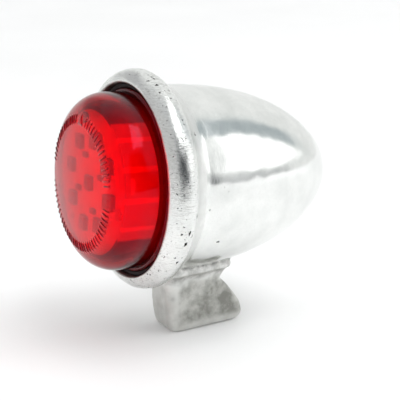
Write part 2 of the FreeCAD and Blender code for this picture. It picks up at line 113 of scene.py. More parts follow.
# Outline of the lens
LENS_RIM_WIDTH = 0.7
LENS_RADIUS = LENS_RIM_RADIUS - LENS_RIM_WIDTH
LENS_WALL = 2.0
LENS_SHOULDER = 7.8
LENS_SHOULDER_AT = -3.7
LENS_RIM_FRONT = 1.0
LENS_BEVEL = 0.3
LENS_ROOT = 0.3
LENS_BACK_BEVEL = 0.1


# ---- meshes ----

SMOOTH_ANGLE = 40


def make_object(name, points, faces, space):
    """A smooth-shaded object from points in a space's millimetres, with its normals outwards."""
    mesh = bpy.data.meshes.new(name)
    mesh.from_pydata(moved(np.asarray(points, float), space).tolist(), [], faces)
    work = bmesh.new()
    work.from_mesh(mesh)
    bmesh.ops.recalc_face_normals(work, faces=work.faces)
    work.to_mesh(mesh)
    work.free()
    mesh.shade_smooth()
    mesh.set_sharp_from_angle(angle=math.radians(SMOOTH_ANGLE))
    made = bpy.data.objects.new(name, mesh)
    bpy.context.scene.collection.objects.link(made)
    return made


def ring_faces(rows, count, loop=False):
    """Quads between rows of points, each row closed round."""
    faces = []
    for row in range(rows if loop else rows - 1):
        here = row * count
        there = (row + 1) % rows * count
        for i in range(count):
            j = (i + 1) % count
            faces.append((here + i, here + j, there + j, there + i))
    return faces


def capped(rows, first_tip, last_tip):
    """Points and faces of a closed body: rows of points, with a point closing each end."""
    count = len(rows[0])
    points = np.concatenate([*rows, np.array([first_tip, last_tip])])
    faces = ring_faces(len(rows), count)
    last = (len(rows) - 1) * count
    tip = len(points)
    faces += [(tip - 2, (i + 1) % count, i) for i in range(count)]
    faces += [(tip - 1, last + i, last + (i + 1) % count) for i in range(count)]
    return points, faces


def turned(profile, count):
    """A turned body about the lamp's axis. A profile end on the axis closes in a point;
    a profile with no end on the axis is a closed section, as of a ring."""
    profile = [(max(radius, 0.0), station) for radius, station in profile]
    on_axis = profile[0][0] < 1e-6
    middle = profile[1:-1] if on_axis else profile
    turns = np.arange(count) * 2 * math.pi / count
    rows = [np.stack([radius * np.cos(turns), np.full(count, station), radius * np.sin(turns)], 1)
            for radius, station in middle]
    if on_axis:
        return capped(rows, (0, profile[0][1], 0), (0, profile[-1][1], 0))
    return np.concatenate(rows), ring_faces(len(rows), count, loop=True)


def arc(centre, radius, start, end, steps):
    """Points (radius, station) of an arc, between angles in degrees from the radial direction."""
    turns = np.radians(np.linspace(start, end, steps + 1))
    return [(centre[0] + radius * math.cos(t), centre[1] + radius * math.sin(t)) for t in turns]


def straight(start, end, steps):
    """Evenly spaced points from start to end."""
    return [tuple(p) for p in np.linspace(start, end, steps + 1)]


def combine(target, other, operation):
    """Joins another object to target, or cuts it away, and removes the other."""
    modifier = target.modifiers.new("boolean", "BOOLEAN")
    modifier.object = other
    modifier.operation = operation
    modifier.solver = "EXACT"
    graph = bpy.context.evaluated_depsgraph_get()
    mesh = bpy.data.meshes.new_from_object(target.evaluated_get(graph))
    target.modifiers.clear()
    target.data = mesh
    bpy.data.objects.remove(other)


def coordinates(mesh):
    """A mesh's vertices, as rows of an array."""
    flat = np.empty(3 * len(mesh.vertices), np.float32)
    mesh.vertices.foreach_get("co", flat)
    return flat.reshape(-1, 3).astype(float)


def normals(mesh):
    """A mesh's vertex normals, as rows of an array."""
    flat = np.empty(3 * len(mesh.vertices), np.float32)
    mesh.vertex_normals.foreach_get("vector", flat)
    return flat.reshape(-1, 3).astype(float)


def waves(points, length, seed, count=28):
    """Smooth noise of about unit size, from plane waves of roughly one wavelength."""
    rng = np.random.default_rng(seed)
    headings = rng.normal(size=(count, 3))
    headings /= np.linalg.norm(headings, axis=1)[:, None]
    pace = 2 * math.pi / length * rng.uniform(0.6, 1.5, count)
    phase = rng.uniform(0, 2 * math.pi, count)
    return np.sin(points @ (headings * pace[:, None]).T + phase).sum(1) * math.sqrt(2 / count)


def smoothstep(low, high, value):
    """Rises smoothly from 0 at low to 1 at high; falls where low is the larger."""
    share = np.clip((value - low) / (high - low), 0, 1)
    return share * share * (3 - 2 * share)


# ---- the casting ----

ROUND_COUNT = 360
LIP_STEPS = 26
NECK_STEPS = 14
TAIL_STEPS = 120
SKIN_POINTS = LIP_STEPS + NECK_STEPS + TAIL_STEPS

# Foot, in the row's millimetres
FOOT_HALF_WIDTH = 5.7
FOOT_WAIST = 5.3
FOOT_FRONT = -11.8
FOOT_BACK = 10.2
FOOT_TOP = 17.2           # from here the foot's walls bend into the shell
FOOT_LEVELS = 41
FOOT_POINTS = (44, 28)    # along its sides, and along its front and back
BACK_WAIST = (3.6, 12.4)  # the back's outline (Y, Z)
BACK_BULGE = (9.3, 6.8)
BACK_ROOT = (5.6, 17.0)
BACK_POINTS = 25
HEEL_ROUND = 2.3
HEEL_TUCK = 0.9           # share of the heel's round that is taken off its depth
FRONT_KNEE = (-12.7, 7.5)
FLARE_START = 12.4
FLARE_RADIUS = 4.2
FLARE_SWEEP = 65.0
CORNER_ROUND = 2.1
SOLE_ROUND = 1.2
SOLE_RISE = 2.2
ROOT_ROUND = 1.3
ROOT_PASSES = 12
FIXING_RADIUS = 2.5
FIXING_DEPTH = 12.0
DRILL_TIP = 1.5
THREAD_PITCH = 1.0
THREAD_DEPTH = 0.42
THREAD_STARTS = (0.2, 1.2)  # heights between which the thread grows to its full depth
WIRE_HOLE_AT = -7.4
WIRE_HOLE_RADIUS = 2.3
WIRE_SEAT_RADIUS = 3.2
WIRE_SEAT_DEPTH = 2.2
WIRE_HOLE_TOP = 21.0
MOUTH_CHAMFER = 0.25      # on the mouth of the wire hole

# Waves of the hand finish on each zone: height and length in millimetres, and the draw's seed
SHELL_WAVES = ((0.022, 24.0, 11), (0.012, 5.0, 12))
LIP_WAVES = ((0.03, 8.0, 13), (0.011, 2.8, 14))
FOOT_WAVES = ((0.07, 6.5, 15), (0.014, 2.4, 16))
HOLLOW_WAVES = ((0.08, 3.0, 18),)
POLISHED_AWAY = 0.1       # taken off the shell and foot, so that the waves stay within the CAD part

# Where blow holes show: (angle, station) of the middle and the spread in degrees and millimetres
PIT_CLUSTERS = (
    ((34, 8.0), (5, 1.6)), ((-4, 6.0), (7, 1.8)), ((3, 16.5), (4, 1.8)), ((-6, 11.5), (4, 1.5)),
    ((-17, 4.8), (6, 1.8)), ((-32, 4.2), (6, 2.2)), ((-31, 16.0), (5, 2.2)),
    ((150, 9.0), (40, 5.0)), ((235, 14.0), (30, 6.0)), ((75, 3.5), (20, 3.0)),
)


def ogive(start, radius, tail, steps):
    """The tail's outline from a station to its tip."""
    shares = np.sin(np.linspace(0, math.pi / 2, steps + 1))
    return [(radius * max(0.0, 1 - s ** OGIVE_ALONG) ** (1 / OGIVE_ACROSS), start + s * (tail - start))
            for s in shares]


def shell_profile():
    """The shell's section: from the hollow's tip out to the mouth, and back over the skin."""
    bore = NECK_RADIUS - WALL
    hollow_start = LIP_STATION + LIP_ROUND + NECK_FILLET / 2
    inside = ogive(hollow_start, bore, TAIL_STATION - WALL, 26)[::-1]
    lip_centre = (LIP_RADIUS - LIP_ROUND, LIP_STATION)
    meet = math.degrees(math.acos((NECK_RADIUS + NECK_FILLET - lip_centre[0])
                                  / (LIP_ROUND + NECK_FILLET)))
    neck = LIP_STATION + (LIP_ROUND + NECK_FILLET) * math.sin(math.radians(meet))
    front = math.degrees(math.asin(LIP_STATION / LIP_ROUND))
    mouth = (straight((bore, SEAT_DEPTH), (MOUTH_RADIUS, SEAT_DEPTH), 4)
             + straight((MOUTH_RADIUS, SEAT_DEPTH), (MOUTH_RADIUS, RIM_EDGE), 6)[1:])
    rim = arc((MOUTH_RADIUS + RIM_EDGE, RIM_EDGE), RIM_EDGE, 180, 270, 4)[1:]
    lip = arc(lip_centre, LIP_ROUND, -front, meet, LIP_STEPS)[1:]
    fillet = arc((NECK_RADIUS + NECK_FILLET, neck), NECK_FILLET, 180 + meet, 180, NECK_STEPS)[1:]
    return inside + mouth + rim + lip + fillet + ogive(neck, NECK_RADIUS, TAIL_STATION, TAIL_STEPS)[1:]


def axis_height(y):
    """Height of the lamp's axis in the row's millimetres."""
    pivot = Vector(unit_turn["pos_m"]) / MM
    return pivot.z - (y - pivot.y) * math.tan(pitch)


def foot_section(z):
    """Half width, front and back of the foot at a height."""
    if z < FLARE_START:
        half = FOOT_HALF_WIDTH + (FOOT_WAIST - FOOT_HALF_WIDTH) * z / FLARE_START
    else:
        climb = min((z - FLARE_START) / FLARE_RADIUS, math.sin(math.radians(FLARE_SWEEP)))
        half = FOOT_WAIST + FLARE_RADIUS * (1 - math.sqrt(1 - climb ** 2))
    if z > BACK_WAIST[1]:
        back = float(np.interp(z, (BACK_WAIST[1], BACK_ROOT[1]), (BACK_WAIST[0], BACK_ROOT[0])))
    else:
        shares = np.linspace(0, 1, BACK_POINTS)
        ends = (FOOT_BACK, HEEL_ROUND)
        curve = [(1 - shares) ** 2 * ends[i] + 2 * shares * (1 - shares) * BACK_BULGE[i]
                 + shares ** 2 * BACK_WAIST[i] for i in (0, 1)]
        back = float(np.interp(z, curve[1], curve[0]))
    climb = min(z / HEEL_ROUND, 1)
    back -= HEEL_TUCK * HEEL_ROUND * (1 - math.sqrt(1 - (1 - climb) ** 2))
    front = FOOT_FRONT + (FRONT_KNEE[0] - FOOT_FRONT) * min(z / FRONT_KNEE[1], 1)
    return half, front, back


def rounded_rectangle(half, front, back, corner, spacing):
    """Points round a rectangle with round corners, evenly numbered whatever its size."""
    points = []
    corners = ((half, back, 0), (-half, back, 90), (-half, front, 180), (half, front, 270))
    for x, y, start in corners:
        centre = (x - math.copysign(corner, x), (back if y == back else front)
                  + (-corner if y == back else corner))
        for step in range(7):
            turn = math.radians(start + 15 * step)
            points.append((centre[0] + corner * math.cos(turn), centre[1] + corner * math.sin(turn)))
    points = np.array(points + points[:1])
    counts = [spacing[1] if i % 14 == 6 else spacing[0] if i % 14 == 13 else 1 for i in range(28)]
    spread = [np.linspace(points[i], points[i + 1], counts[i], endpoint=False) for i in range(28)]
    return np.concatenate(spread)


def foot_mesh():
    """The foot as a stack of rounded sections, its top buried in the shell's wall."""
    levels = [SOLE_RISE * (1 - math.cos(math.radians(t))) for t in (0, 15, 30, 45, 60, 75, 90)]
    levels += list(np.linspace(SOLE_RISE, FOOT_TOP, FOOT_LEVELS)[1:])
    rows = []
    for z in levels:
        half, front, back = foot_section(z)
        under = 1 - min(z, SOLE_RISE) / SOLE_RISE
        inset = SOLE_ROUND * (1 - math.sqrt(1 - under ** 2))
        outline = rounded_rectangle(half - inset, front + inset, back - inset,
                                    CORNER_ROUND - inset / 2, FOOT_POINTS)
        rows.append(np.column_stack([outline, np.full(len(outline), z)]))
    top = rows[-1].copy()
    buried = NECK_RADIUS - WALL / 2
    for share in (0.34, 0.67, 1.0):
        higher = top.copy()
        goal = axis_height(top[:, 1]) - np.sqrt(buried ** 2 - top[:, 0] ** 2)
        back_off = np.clip((top[:, 1] + 2) * 0.05, 0, 1.2)
        higher[:, 2] = top[:, 2] + share * (goal + back_off - top[:, 2])
        rows.append(higher)
    count = len(rows[0])
    points = np.concatenate(rows)
    faces = ring_faces(len(rows), count)
    last = len(points)
    for row, first in ((rows[0], 0), (rows[-1], (len(rows) - 1) * count)):
        middle = row.mean(0)
        if first:
            middle[2] = row[:, 2].min()
        points = np.concatenate([points, [middle]])
        faces += [(first + i, first + (i + 1) % count, last) for i in range(count)]
        last += 1
    return make_object("foot", points, faces, ROW)


def thread_cutter():
    """The fixing hole: a bore whose radius winds up and down with the thread's pitch."""
    count = 72
    heights = np.linspace(-1.0, FIXING_DEPTH, 131)
    turns = np.arange(count) * 2 * math.pi / count
    rows = []
    for z in heights:
        phase = (z / THREAD_PITCH + turns / (2 * math.pi)) % 1.0
        depth = THREAD_DEPTH * (1 - np.abs(2 * phase - 1)) * smoothstep(*THREAD_STARTS, np.full(count, z))
        mouth = 0.5 * smoothstep(0.5, 0.0, np.full(count, z))
        radius = FIXING_RADIUS + np.maximum(depth, mouth)
        rows.append(np.stack([radius * np.cos(turns), radius * np.sin(turns), np.full(count, z)], 1))
    points, faces = capped(rows, (0, 0, heights[0]), (0, 0, FIXING_DEPTH + DRILL_TIP))
    return make_object("thread_cutter", points, faces, ROW)


def wire_cutter():
    """The stepped hole for the leads' rubber bush, up into the hollow."""
    count = 48
    turns = np.arange(count) * 2 * math.pi / count
    wide = WIRE_SEAT_RADIUS + MOUTH_CHAMFER
    sections = ((wide, -1.0), (wide, 0.0), (WIRE_SEAT_RADIUS, MOUTH_CHAMFER),
                (WIRE_SEAT_RADIUS, WIRE_SEAT_DEPTH), (WIRE_HOLE_RADIUS, WIRE_SEAT_DEPTH),
                (WIRE_HOLE_RADIUS, WIRE_HOLE_TOP))
    rows = [np.stack([radius * np.cos(turns), WIRE_HOLE_AT + radius * np.sin(turns),
                      np.full(count, z)], 1) for radius, z in sections]
    points, faces = capped(rows, (0, WIRE_HOLE_AT, -1.0), (0, WIRE_HOLE_AT, WIRE_HOLE_TOP))
    return make_object("wire_cutter", points, faces, ROW)


def casting_zones(points):
    """Radius, station and angle about the lamp's axis, for points in the row's millimetres."""
    lamp = moved(points, LAMP.inverted() @ ROW)
    radius = np.hypot(lamp[:, 0], lamp[:, 2])
    angle = np.degrees(np.arctan2(lamp[:, 2], lamp[:, 0]))
    station = lamp[:, 1]
    return radius, station, angle


def on_outline(station):
    """The shell's outer radius at stations behind the rim."""
    outside = np.array(shell_profile()[-SKIN_POINTS:])
    order = np.argsort(outside[:, 1])
    return np.interp(station, outside[order, 1], outside[order, 0])


def cluster(angle, station, middle, spread):
    """1 at the middle (angle, station) of a cluster, fading over its spread in both."""
    off_angle = (angle - middle[0] + 180) % 360 - 180
    return np.exp(-(off_angle / spread[0]) ** 2 - ((station - middle[1]) / spread[1]) ** 2)


def ripple(points, sizes):
    """The sum of several waves at points."""
    return sum(height * waves(points, length, seed) for height, length, seed in sizes)


def shape_casting(casting):
    """Works the hand-finished skin into the mesh: waves of the polishing wheel, an uneven lip
    and a soft, lumpy foot. Keeps masks for the material: of the finishes, of the foot's worn sole
    and painted-lit front, and of the crease at its root, which is painted in shade."""
    mesh = casting.data
    points = coordinates(mesh) / MM
    outwards = normals(mesh)
    radius, station, angle = casting_zones(points)
    height = points[:, 2]
    proud = radius - on_outline(station)
    on_shell = smoothstep(-0.9, -0.3, proud) * (station > -0.2)
    on_foot = ((height < 20) & (proud > 0.12) & (np.abs(points[:, 0]) < 10)).astype(float)
    hollow = 1 - np.maximum(on_shell, on_foot)
    lip = on_shell * smoothstep(8.5, 5.0, station)
    lift = on_shell * ripple(points, SHELL_WAVES) + lip * ripple(points, LIP_WAVES)
    lift += on_foot * ripple(points, FOOT_WAVES) + hollow * ripple(points, HOLLOW_WAVES)
    lift -= POLISHED_AWAY * np.maximum(on_shell, on_foot)
    near_mouth = smoothstep(MOUTH_RADIUS + 1.6, MOUTH_RADIUS + 0.3, radius)
    near_mouth *= smoothstep(SEAT_DEPTH + 1.0, SEAT_DEPTH + 0.2, station)
    sole = smoothstep(1.0, 0.2, height)
    bolt = smoothstep(3.8, 3.2, np.hypot(points[:, 0], points[:, 1]))
    leads = smoothstep(4.2, 3.6, np.hypot(points[:, 0], points[:, 1] - WIRE_HOLE_AT))
    held = np.maximum(sole, np.maximum(bolt, leads) * smoothstep(15, 13, height))
    lift *= (1 - near_mouth) * (1 - held)
    moved_points = (points + outwards * lift[:, None]) * MM
    mesh.vertices.foreach_set("co", moved_points.astype(np.float32).ravel())
    rough_foot = on_foot * smoothstep(FLARE_START + 2.2, FLARE_START - 0.6,
                                      height + 0.7 * waves(points, 4.0, 3))
    # Lighter along the sole, where it is worn, and on the front face, where light is painted in.
    worn_and_lit = np.maximum(smoothstep(3.4, 1.2, height),
                      smoothstep(FOOT_FRONT + 3.2, FOOT_FRONT + 1.4, points[:, 1]))
    # The crease round the foot's root, where the material paints shade.
    root = np.exp(-((proud - 0.1) / 0.7) ** 2) * smoothstep(11, 9, np.abs(points[:, 0]))
    root *= (height < 20) * (station > 6) * smoothstep(FLARE_START, FLARE_START + 2, height)
    pitted = sum(cluster(angle, station, *place) for place in PIT_CLUSTERS)
    masks = {"raw": np.maximum(rough_foot, hollow), "worn_and_lit": worn_and_lit * on_foot, "root": root,
             "collar": on_foot * (1 - rough_foot), "lip": lip,
             "neck": on_shell * smoothstep(11.2, 10.2, station) * smoothstep(5.5, 8.0, station),
             "pitted": np.clip(pitted, 0, 1) * on_shell}
    for name, values in masks.items():
        layer = mesh.attributes.new(name, "FLOAT", "POINT")
        layer.data.foreach_set("value", values.astype(np.float32))
    mesh.update()


def soften_root(casting):
    """Rounds the crease between the shell and the foot's flare."""
    work = bmesh.new()
    work.from_mesh(casting.data)
    spots = np.array([vertex.co for vertex in work.verts]) / MM
    radius, station, _ = casting_zones(spots)
    off = np.abs(radius - on_outline(station))
    near = (off < ROOT_ROUND) & (spots[:, 2] > FLARE_START) & (spots[:, 2] < 20) & (station > 6)
    near &= np.abs(spots[:, 0]) < FOOT_HALF_WIDTH + FLARE_RADIUS
    crease = [edge.index for edge in work.edges if edge.calc_face_angle(0) > math.radians(20)]
    work.edges.ensure_lookup_table()
    lines = np.array([(spots[edge.verts[0].index] + spots[edge.verts[1].index]) / 2
                      for edge in (work.edges[i] for i in crease)])
    work.verts.ensure_lookup_table()
    chosen = []
    for index in np.flatnonzero(near):
        if np.min(((lines - spots[index]) ** 2).sum(1)) < ROOT_ROUND ** 2:
            chosen.append(work.verts[index])
    for _ in range(ROOT_PASSES):
        bmesh.ops.smooth_vert(work, verts=chosen, factor=0.5, use_axis_x=True, use_axis_y=True,
                              use_axis_z=True)
    work.to_mesh(casting.data)
    work.free()


def casting():
    """The housing in one piece: shell, foot, fixing hole and wire hole."""
    points, faces = turned(shell_profile(), ROUND_COUNT)
    made = make_object("housing_casting", points, faces, LAMP)
    combine(made, foot_mesh(), "UNION")
    combine(made, thread_cutter(), "DIFFERENCE")
    combine(made, wire_cutter(), "DIFFERENCE")
    soften_root(made)
    shape_casting(made)
    made.data.shade_smooth()
    made.data.set_sharp_from_angle(angle=math.radians(50))
    return made


# ---- the lens moulding ----

LENS_COUNT = 480
TICKS = 72
TICK_RADII = (14.5, 16.7)
TICK_WIDTH = 0.36
TICK_HEIGHT = 0.26
TICK_GROUPS = ((100, 170), (10, 80), (190, 350))

# White flanks of the drum: the middle of the left one and their half width in degrees, and the
# number of painted glint stripes all round
FLANK_AT = 12.5
FLANK_HALF = 47.0
DRUM_GLINT_STRIPES = 16


def dome_profile(inset, crown_steps, shoulder_steps):
    """Crown and shoulder of the lens from the pole outwards, set inside its face."""
    middle = LENS_RADIUS - LENS_SHOULDER
    depth = LENS_SHOULDER_AT - LENS_POLE
    crown = (LENS_SHOULDER ** 2 - depth ** 2 - middle ** 2) / (2 * (LENS_SHOULDER - depth))
    centre = LENS_POLE + crown
    lean = math.degrees(math.atan2(LENS_SHOULDER_AT - centre, middle))
    return (arc((0, centre), crown - inset, -90, lean, crown_steps)
            + arc((middle, LENS_SHOULDER_AT), LENS_SHOULDER - inset, lean, 0, shoulder_steps)[1:])


def lens_profile():
    """The whole section of the lens: over its face, round its rim and back inside."""
    inner = LENS_RADIUS - LENS_WALL
    side = straight((LENS_RADIUS, LENS_SHOULDER_AT), (LENS_RADIUS, LENS_RIM_FRONT - LENS_ROOT), 5)[1:]
    root = arc((LENS_RADIUS + LENS_ROOT, LENS_RIM_FRONT - LENS_ROOT), LENS_ROOT, 180, 90, 4)[1:]
    bevel = [(LENS_RIM_RADIUS - LENS_BEVEL, LENS_RIM_FRONT),
             (LENS_RIM_RADIUS, LENS_RIM_FRONT + LENS_BEVEL)]
    back = [(LENS_RIM_RADIUS, LENS_BACK - LENS_BACK_BEVEL),
            (LENS_RIM_RADIUS - LENS_BACK_BEVEL, LENS_BACK), (inner + LENS_BACK_BEVEL, LENS_BACK),
            (inner, LENS_BACK - LENS_BACK_BEVEL), (inner, LENS_SHOULDER_AT + LENS_WALL)]
    return (dome_profile(0, 56, 34) + side + root + bevel + back + dome_profile(LENS_WALL, 12, 26)[::-1])


def tick_height(radius, angle):
    """Height of the raised marks at points of the crown: a ring of short bars in three groups,
    and a triangle that shows the top."""
    pitch_deg = 360 / TICKS
    off_bar = np.abs((angle + pitch_deg / 2) % pitch_deg - pitch_deg / 2)
    across = np.radians(off_bar) * radius
    inside = smoothstep(TICK_WIDTH / 2 + 0.09, TICK_WIDTH / 2 - 0.09, across)
    ends = smoothstep(TICK_RADII[0] - 0.1, TICK_RADII[0] + 0.1, radius)
    ends *= smoothstep(TICK_RADII[1] + 0.1, TICK_RADII[1] - 0.1, radius)
    grouped = np.zeros(len(radius))
    for low, high in TICK_GROUPS:
        grouped = np.maximum(grouped, (angle > low) & (angle < high))
    side = np.abs((angle - 90 + 180) % 360 - 180) * np.pi / 180 * radius
    slope = (TICK_RADII[1] - radius) * 0.55
    triangle = smoothstep(0.08, -0.08, side - slope) * ends
    return TICK_HEIGHT * np.maximum(inside * ends * grouped, triangle)


def lens_moulding():
    """The lens with the marks raised on its crown."""
    points, faces = turned(lens_profile(), LENS_COUNT)
    radius = np.hypot(points[:, 0], points[:, 2])
    angle = np.degrees(np.arctan2(points[:, 2], points[:, 0])) % 360
    on_crown = (points[:, 1] < LENS_POLE + 1.9) & (radius > 1)
    marks = np.where(on_crown, tick_height(radius, angle), 0)
    points[:, 1] -= marks
    made = make_object("lens_moulding", points, faces, LAMP)
    layer = made.data.attributes.new("marks", "FLOAT", "POINT")
    layer.data.foreach_set("value", (marks / TICK_HEIGHT).astype(np.float32))
    return made


# ---- materials ----

class Finish:
    """A material built from nodes, with short ways to add the usual ones."""

    def __init__(self, name):
        self.material = bpy.data.materials.new(name)
        self.material.use_nodes = True
        self.tree = self.material.node_tree
        self.shader = self.tree.nodes["Principled BSDF"]
        self.out = self.tree.nodes["Material Output"]

    def node(self, kind, inputs=(), **settings):
        made = self.tree.nodes.new("ShaderNode" + kind)
        for name, value in settings.items():
            setattr(made, name, value)
        for name, value in dict(inputs).items():
            self.feed(made.inputs[name], value)
        return made

    def feed(self, socket, value):
        """Links an output to a socket, or sets the socket's value."""
        if isinstance(value, bpy.types.NodeSocket):
            self.tree.links.new(value, socket)
        else:
            socket.default_value = value

    def set(self, **inputs):
        for name, value in inputs.items():
            self.feed(self.shader.inputs[name.replace("_", " ")], value)

    def place(self):
        """Object coordinates, in metres."""
        return self.node("TexCoord").outputs["Object"]

    def lamp_place(self):
        """Coordinates in the lamp's own frame, in millimetres."""
        back = LAMP.inverted()
        turn = back.to_euler()
        mapping = self.node("Mapping", {"Vector": self.place()}, vector_type="POINT")
        mapping.inputs["Scale"].default_value = (1 / MM,) * 3
        mapping.inputs["Rotation"].default_value = turn
        mapping.inputs["Location"].default_value = back.translation
        return mapping.outputs["Vector"]

    def noise(self, scale, detail, roughness=0.5, place=None, stretch=None):
        """Noise by object coordinates, or by a place stretched along its axes."""
        place = place or self.place()
        if stretch:
            place = self.node("Mapping", {"Vector": place, "Scale": stretch}).outputs["Vector"]
        made = self.node("TexNoise", {"Vector": place, "Scale": scale, "Detail": detail,
                                      "Roughness": roughness})
        return made.outputs["Fac"]

    def span(self, factor, low, high, start=0.3, end=0.7):
        """Maps a factor between start and end to low and high."""
        made = self.node("MapRange", {"Value": factor, "From Min": start, "From Max": end,
                                      "To Min": low, "To Max": high})
        return made.outputs["Result"]

    def mix(self, factor, first, second):
        made = self.node("Mix", data_type="RGBA")
        self.feed(made.inputs["Factor"], factor)
        self.feed(made.inputs[6], first)
        self.feed(made.inputs[7], second)
        return made.outputs[2]

    def blend(self, factor, first, second):
        made = self.node("Mix", data_type="FLOAT")
        self.feed(made.inputs["Factor"], factor)
        self.feed(made.inputs[2], first)
        self.feed(made.inputs[3], second)
        return made.outputs[0]

    def turn(self, factor, first, second):
        """Mixes two normals."""
        made = self.node("Mix", data_type="VECTOR")
        self.feed(made.inputs["Factor"], factor)
        self.feed(made.inputs[4], first)
        self.feed(made.inputs[5], second)
        return made.outputs[1]

    def math(self, operation, *values):
        return self.node("Math", dict(enumerate(values)), operation=operation).outputs[0]

    def times(self, first, second):
        return self.math("MULTIPLY", first, second)

    def larger(self, first, second):
        return self.math("MAXIMUM", first, second)

    def round_axis(self, lamp):
        """Radius from the lamp's axis, angle about it, and the cosine of the angle from the drum's
        white flank on the part's own left."""
        x, _, z = self.node("SeparateXYZ", {0: lamp}).outputs
        radius = self.math("SQRT", self.math("ADD", self.math("POWER", x, 2), self.math("POWER", z, 2)))
        turn = self.math("ARCTAN2", z, x)
        sideways = self.math("COSINE", self.math("SUBTRACT", turn, math.radians(FLANK_AT)))
        return radius, turn, sideways

    def specks(self, place, scale, zone):
        """Small ragged holes, one in some cells of a scattered pattern, more where zone is high."""
        ragged = self.node("TexNoise", {"Vector": place, "Scale": 1.8, "Detail": 3.0})
        shift = self.node("VectorMath", {0: ragged.outputs["Color"], 1: (1.4, 1.4, 1.4)},
                          operation="MULTIPLY").outputs[0]
        moved_place = self.node("VectorMath", {0: place, 1: shift}, operation="ADD").outputs[0]
        cells = self.node("TexVoronoi", {"Vector": moved_place, "Scale": scale})
        chance = self.node("SeparateColor", {0: cells.outputs["Color"]}).outputs[0]
        level = self.node("MapRange", {"Value": zone, "From Min": 0.0, "From Max": 1.0,
                                       "To Min": 0.965, "To Max": 0.12}).outputs["Result"]
        size = self.span(self.math("SUBTRACT", chance, level), 0.0, 0.30, 0.0, 0.5)
        inside = self.math("SUBTRACT", size, cells.outputs["Distance"])
        return self.span(inside, 0.0, 1.0, -0.005, 0.05)

    def dent(self, mask, depth, normal):
        """Sinks the surface where the mask is 1, by a depth in millimetres."""
        made = self.node("Bump", {"Height": mask, "Distance": depth * MM, "Strength": 1.0,
                                  "Normal": normal}, invert=True)
        return made.outputs["Normal"]

    def attribute(self, name):
        return self.node("Attribute", attribute_name=name).outputs["Fac"]

    def bump(self, height, distance, strength, normal=None):
        """A bump of a height field, its distance in millimetres."""
        made = self.node("Bump", {"Height": height, "Distance": distance * MM, "Strength": strength})
        if normal:
            self.feed(made.inputs["Normal"], normal)
        return made.outputs["Normal"]


def cast_aluminium():
    """Polished casting with the wheel's marks and blow holes, the holes painted dark as shade inside
    them; grey and duller on the foot, lighter on its worn sole and on its front face as painted
    light, with painted shade in the crease round its root.
    """
    m = Finish("cast_aluminium")
    lamp = m.lamp_place()
    raw = m.attribute("raw")
    collar = m.attribute("collar")
    worn_and_lit = m.attribute("worn_and_lit")
    lip = m.attribute("lip")
    cloud = m.noise(0.16, 3, 0.55, lamp)
    blotch = m.noise(0.42, 4, 0.6, lamp)
    smudge = m.noise(0.15, 5, 0.62, lamp)
    fine = m.noise(2.6, 5, 0.65, lamp)
    wheel = m.noise(0.5, 5, 0.6, lamp, (1, 9, 1))
    scratch = m.noise(1.3, 5, 0.7, lamp, (1.0, 0.25, 3.0))
    pitted = m.attribute("pitted")
    along = m.node("Mapping", {"Vector": lamp, "Scale": (1.0, 0.9, 0.5)}).outputs[0]
    holes = m.specks(along, 0.8, pitted)
    specks = m.larger(holes, m.specks(lamp, 1.3, m.times(m.larger(lip, pitted), 0.55)))
    crease_shade = m.times(m.attribute("root"), m.span(m.noise(0.55, 6, 0.7, lamp), 0.15, 0.9, 0.40, 0.60))

    polished = m.mix(m.span(cloud, 0, 1), (0.775, 0.79, 0.775, 1), (0.90, 0.91, 0.895, 1))
    polished = m.mix(m.span(fine, 0, 0.5, 0.5, 0.75), polished, (0.66, 0.67, 0.66, 1))
    satin = m.times(m.attribute("neck"), m.span(blotch, 0.2, 1))
    polished = m.mix(satin, polished, (0.74, 0.745, 0.73, 1))
    scuffed = m.times(m.span(scratch, 0, 0.7, 0.52, 0.68), lip)
    polished = m.mix(scuffed, polished, (0.46, 0.46, 0.44, 1))
    cast = m.mix(m.span(smudge, 0, 1, 0.40, 0.62), (0.30, 0.30, 0.275, 1), (0.62, 0.62, 0.59, 1))
    cast = m.mix(m.span(blotch, 0, 0.3, 0.5, 0.7), cast, (0.70, 0.70, 0.66, 1))
    # Painted light on the foot's front face, and wear along its sole.
    cast = m.mix(m.times(worn_and_lit, m.span(cloud, 0.5, 1)), cast, (0.70, 0.70, 0.675, 1))
    filed = m.mix(m.span(blotch, 0, 1, 0.4, 0.6), (0.50, 0.50, 0.48, 1), (0.76, 0.76, 0.74, 1))
    colour = m.mix(m.times(collar, 0.9), polished, filed)
    colour = m.mix(raw, colour, cast)
    # Painted shade in the crease round the foot's root, in patches.
    colour = m.mix(m.times(crease_shade, 0.8), colour, (0.14, 0.14, 0.13, 1))
    # The holes are painted near black: painted shade inside them.
    colour = m.mix(specks, colour, (0.035, 0.033, 0.03, 1))

    rough = m.span(cloud, 0.10, 0.17)
    rough = m.blend(m.span(wheel, 0, 0.3, 0.48, 0.75), rough, 0.32)
    rough = m.blend(m.times(lip, 0.55), rough, m.span(scratch, 0.18, 0.34))
    rough = m.blend(m.attribute("neck"), rough, 0.36)
    rough = m.blend(collar, rough, m.span(fine, 0.40, 0.5))
    rough = m.blend(raw, rough, m.blend(worn_and_lit, m.span(fine, 0.42, 0.6), 0.34))
    rough = m.blend(crease_shade, rough, 0.6)
    rough = m.blend(specks, rough, 0.7)

    height = m.noise(0.9, 3, 0.5, lamp, (1, 3, 1))
    smooth = m.bump(fine, 0.006, 0.6, m.bump(wheel, 0.006, 0.6, m.bump(height, 0.012, 0.6)))
    handled = m.bump(scratch, 0.07, 1.0, m.bump(fine, 0.05, 1.0))
    grained = m.bump(blotch, 0.08, 0.5, m.bump(fine, 0.03, 0.5))
    normal = m.turn(m.times(lip, 0.8), smooth, handled)
    normal = m.turn(m.larger(raw, collar), normal, grained)
    m.set(Base_Color=colour, Metallic=1.0, Roughness=rough, Normal=m.dent(specks, 0.12, normal))
    return m.material


